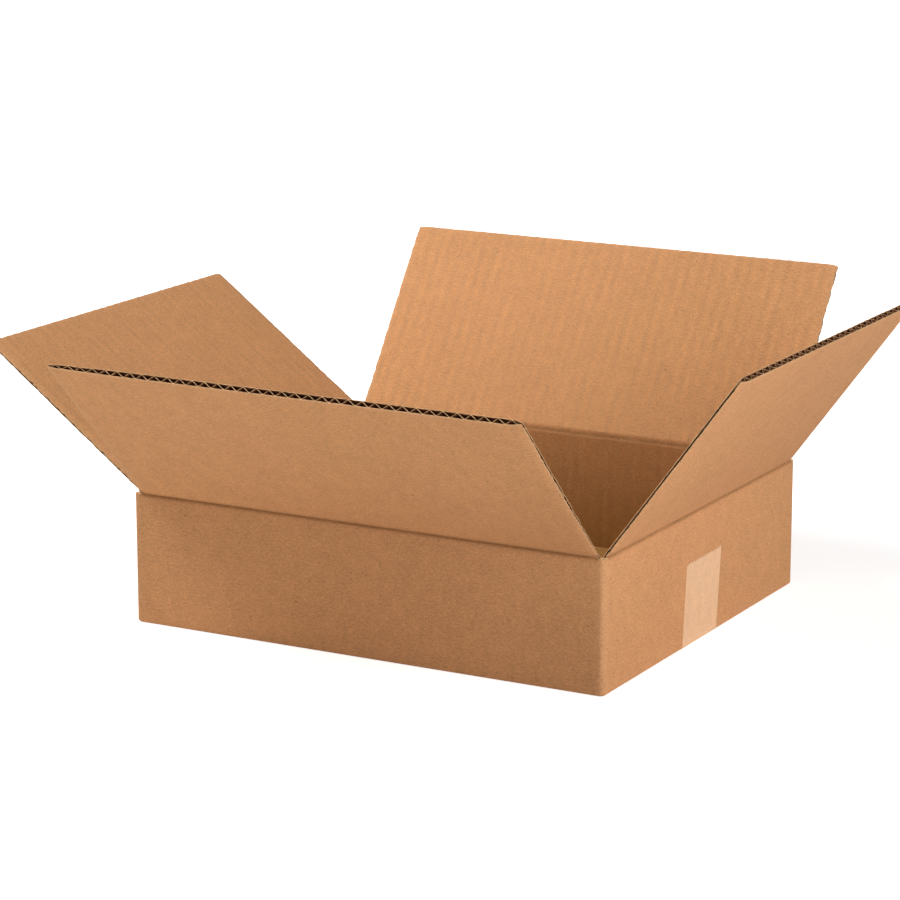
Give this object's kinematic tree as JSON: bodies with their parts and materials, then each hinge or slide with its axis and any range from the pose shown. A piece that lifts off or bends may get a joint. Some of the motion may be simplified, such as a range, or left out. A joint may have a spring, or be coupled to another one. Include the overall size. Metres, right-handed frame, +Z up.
{
  "type": "open corrugated cardboard box",
  "caption": "Shallow open shipping box of corrugated board: a slotted carton with its base taped shut and its hinged top flaps standing open.",
  "frame": {"origin": "centre of the base, on the surface that the box stands on", "axes": "+X along the length, towards the end wall whose tape leans; +Y to the back; +Z up, out of the open top"},
  "size_m": [0.4983, 0.4365, 0.1906],
  "materials": {
    "kraft_board": "matt, fibrous kraft liner",
    "tape": "thin tan packing tape, slightly see-through"
  },
  "bodies": {
    "carton": {"carton": "kraft_board", "bottom_tape": "tape"},
    "front_flap": {"front_flap": "kraft_board"},
    "right_flap": {"right_flap": "kraft_board"},
    "back_flap": {"back_flap": "kraft_board"},
    "left_flap": {"left_flap": "kraft_board"}
  },
  "joints": [
    {"name": "front_crease", "type": "hinge", "parent": "carton", "child": "front_flap", "pos_m": [0, -0.132, 0.0821], "axis": [1, 0, 0], "range_deg": [-134.5, 77.5]},
    {"name": "right_crease", "type": "hinge", "parent": "carton", "child": "right_flap", "pos_m": [0.1544, 0, 0.0795], "axis": [0, 1, 0], "range_deg": [-126.4, 85.6]},
    {"name": "back_crease", "type": "hinge", "parent": "carton", "child": "back_flap", "pos_m": [0, 0.132, 0.0821], "axis": [-1, 0, 0], "range_deg": [-125.1, 86.9]},
    {"name": "left_crease", "type": "hinge", "parent": "carton", "child": "left_flap", "pos_m": [-0.1544, 0, 0.0795], "axis": [0, -1, 0], "range_deg": [-143.5, 68.5]}
  ]
}
